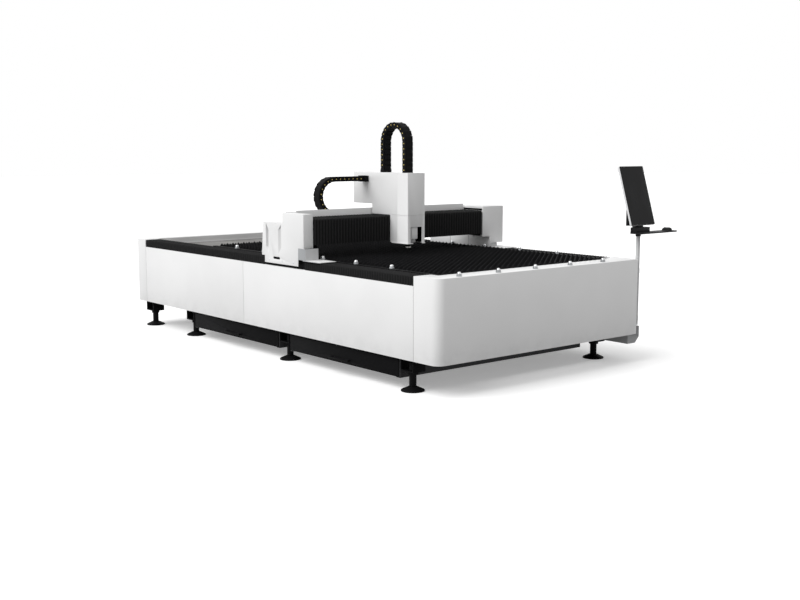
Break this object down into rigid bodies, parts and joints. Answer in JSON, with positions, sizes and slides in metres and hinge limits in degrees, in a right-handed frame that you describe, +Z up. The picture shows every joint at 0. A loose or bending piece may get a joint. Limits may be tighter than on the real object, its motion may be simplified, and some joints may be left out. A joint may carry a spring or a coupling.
{
  "type": "fiber laser cutting machine",
  "caption": "Open flat-bed laser cutting machine: long bed with a toothed slat table, moving gantry, cross carriage, cutting head, drag chains, slag drawers and operator console.",
  "frame": {"origin": "on the floor, below the middle of the whole machine", "axes": "+Z up; +Y along the bed from the operator end to the rear; +X to the console side"},
  "size_m": [2.6814, 4.703, 2.0173],
  "materials": {
    "white_paint": "satin powder coat, white",
    "grey_paint": "satin powder coat, light grey",
    "black_paint": "satin paint, black",
    "frame_paint": "matt primer, dark grey",
    "slat_steel": "scaled dark steel",
    "bright_steel": "ground steel",
    "head_metal": "anodised aluminium",
    "nozzle_metal": "turned and plated metal",
    "bellows_cloth": "coated black bellows cloth",
    "chain_plastic": "moulded black plastic",
    "console_plastic": "textured black plastic",
    "screen": "dark glossy screen"
  },
  "bodies": {
    "bed": {"side_beams": "frame_paint", "cross_beams": "frame_paint", "foot_brackets": "black_paint", "foot_studs": "bright_steel", "foot_pads": "black_paint", "front_end_cover": "white_paint", "rear_end_cover": "white_paint", "side_panels": "white_paint", "slat_combs": "slat_steel", "slats": "slat_steel", "slag_chutes": "frame_paint", "drawer_runners": "frame_paint", "ball_bars": "black_paint", "ball_cups": "bright_steel", "transfer_balls": "bright_steel", "rear_deck": "grey_paint", "y_rails": "bright_steel", "y_racks": "bright_steel", "left_front_bellows": "bellows_cloth", "left_rear_bellows": "bellows_cloth", "right_front_bellows": "bellows_cloth", "right_rear_bellows": "bellows_cloth", "chain_trough": "grey_paint", "y_chain": "chain_plastic", "console_pole": "grey_paint"},
    "front_drawer": {"front_drawer": "black_paint"},
    "rear_drawer": {"rear_drawer": "black_paint"},
    "console": {"control_tray": "console_plastic", "monitor_stand": "console_plastic", "mouse": "console_plastic"},
    "monitor": {"monitor_shell": "console_plastic", "monitor_screen": "screen"},
    "gantry": {"gantry_beam": "frame_paint", "gantry_feet": "frame_paint", "y_guide_blocks": "bright_steel", "y_motors": "black_paint", "left_end_cover": "white_paint", "right_end_cover": "white_paint", "foot_shields": "grey_paint", "x_rails": "bright_steel", "x_rack": "bright_steel", "chain_tray": "white_paint", "left_x_bellows": "bellows_cloth", "right_x_bellows": "bellows_cloth", "x_chain": "chain_plastic", "chain_arm": "grey_paint"},
    "left_pinion": {"left_y_pinion": "bright_steel"},
    "right_pinion": {"right_y_pinion": "bright_steel"},
    "carriage": {"carriage_plate": "frame_paint", "x_guide_blocks": "bright_steel", "carriage_cover": "white_paint", "head_cover": "white_paint", "carriage_motors": "black_paint", "z_rails": "bright_steel", "z_chain": "chain_plastic"},
    "cross_pinion": {"x_pinion": "bright_steel"},
    "screw": {"z_screw": "bright_steel"},
    "head": {"head_plate": "head_metal", "cutting_head": "head_metal", "nozzle": "nozzle_metal"}
  },
  "joints": [
    {"name": "gantry_slide", "type": "slide", "parent": "bed", "child": "gantry", "axis": [0, 1, 0], "range_m": [-1.1, 1.9], "deforming": ["left_front_bellows", "right_front_bellows", "left_rear_bellows", "right_rear_bellows", "y_chain"]},
    {"name": "carriage_slide", "type": "slide", "parent": "gantry", "child": "carriage", "axis": [1, 0, 0], "range_m": [-0.62, 0.84], "deforming": ["left_x_bellows", "right_x_bellows", "x_chain"]},
    {"name": "head_slide", "type": "slide", "parent": "carriage", "child": "head", "axis": [0, 0, 1], "range_m": [-0.02, 0.08], "deforming": ["z_chain"]},
    {"name": "screw_spin", "type": "hinge", "parent": "carriage", "child": "screw", "pos_m": [-0.34675, -0.7105, 1.2], "axis": [0, 0, 1], "range_deg": [-2882, 722]},
    {"name": "left_pinion_spin", "type": "hinge", "parent": "gantry", "child": "left_pinion", "pos_m": [-1.25535, -0.1885, 0.77], "axis": [0, 0, 1], "range_deg": [-2103, 3631]},
    {"name": "right_pinion_spin", "type": "hinge", "parent": "gantry", "child": "right_pinion", "pos_m": [0.84385, -0.1885, 0.77], "axis": [0, 0, 1], "range_deg": [-3631, 2103]},
    {"name": "cross_pinion_spin", "type": "hinge", "parent": "carriage", "child": "cross_pinion", "pos_m": [-0.34675, -0.5181, 1.199], "axis": [0, 0, 1], "range_deg": [-2190, 1617]},
    {"name": "front_drawer_slide", "type": "slide", "parent": "bed", "child": "front_drawer", "axis": [-1, 0, 0], "range_m": [0, 0.9]},
    {"name": "rear_drawer_slide", "type": "slide", "parent": "bed", "child": "rear_drawer", "axis": [-1, 0, 0], "range_m": [0, 0.9]},
    {"name": "console_swivel", "type": "hinge", "parent": "bed", "child": "console", "pos_m": [0.94375, -2.2485, 1.08], "axis": [0, 0, 1], "range_deg": [-90, 90]},
    {"name": "monitor_tilt", "type": "hinge", "parent": "console", "child": "monitor", "pos_m": [0.94375, -2.24066, 1.25057], "axis": [1, 0, 0], "range_deg": [-10, 10]}
  ],
  "couplings": [
    {"joint": "left_pinion_spin", "follows": "gantry_slide", "rad_per_m": 33.333},
    {"joint": "right_pinion_spin", "follows": "gantry_slide", "rad_per_m": -33.333},
    {"joint": "cross_pinion_spin", "follows": "carriage_slide", "rad_per_m": -45.455},
    {"joint": "screw_spin", "follows": "head_slide", "rad_per_m": -628.32}
  ]
}
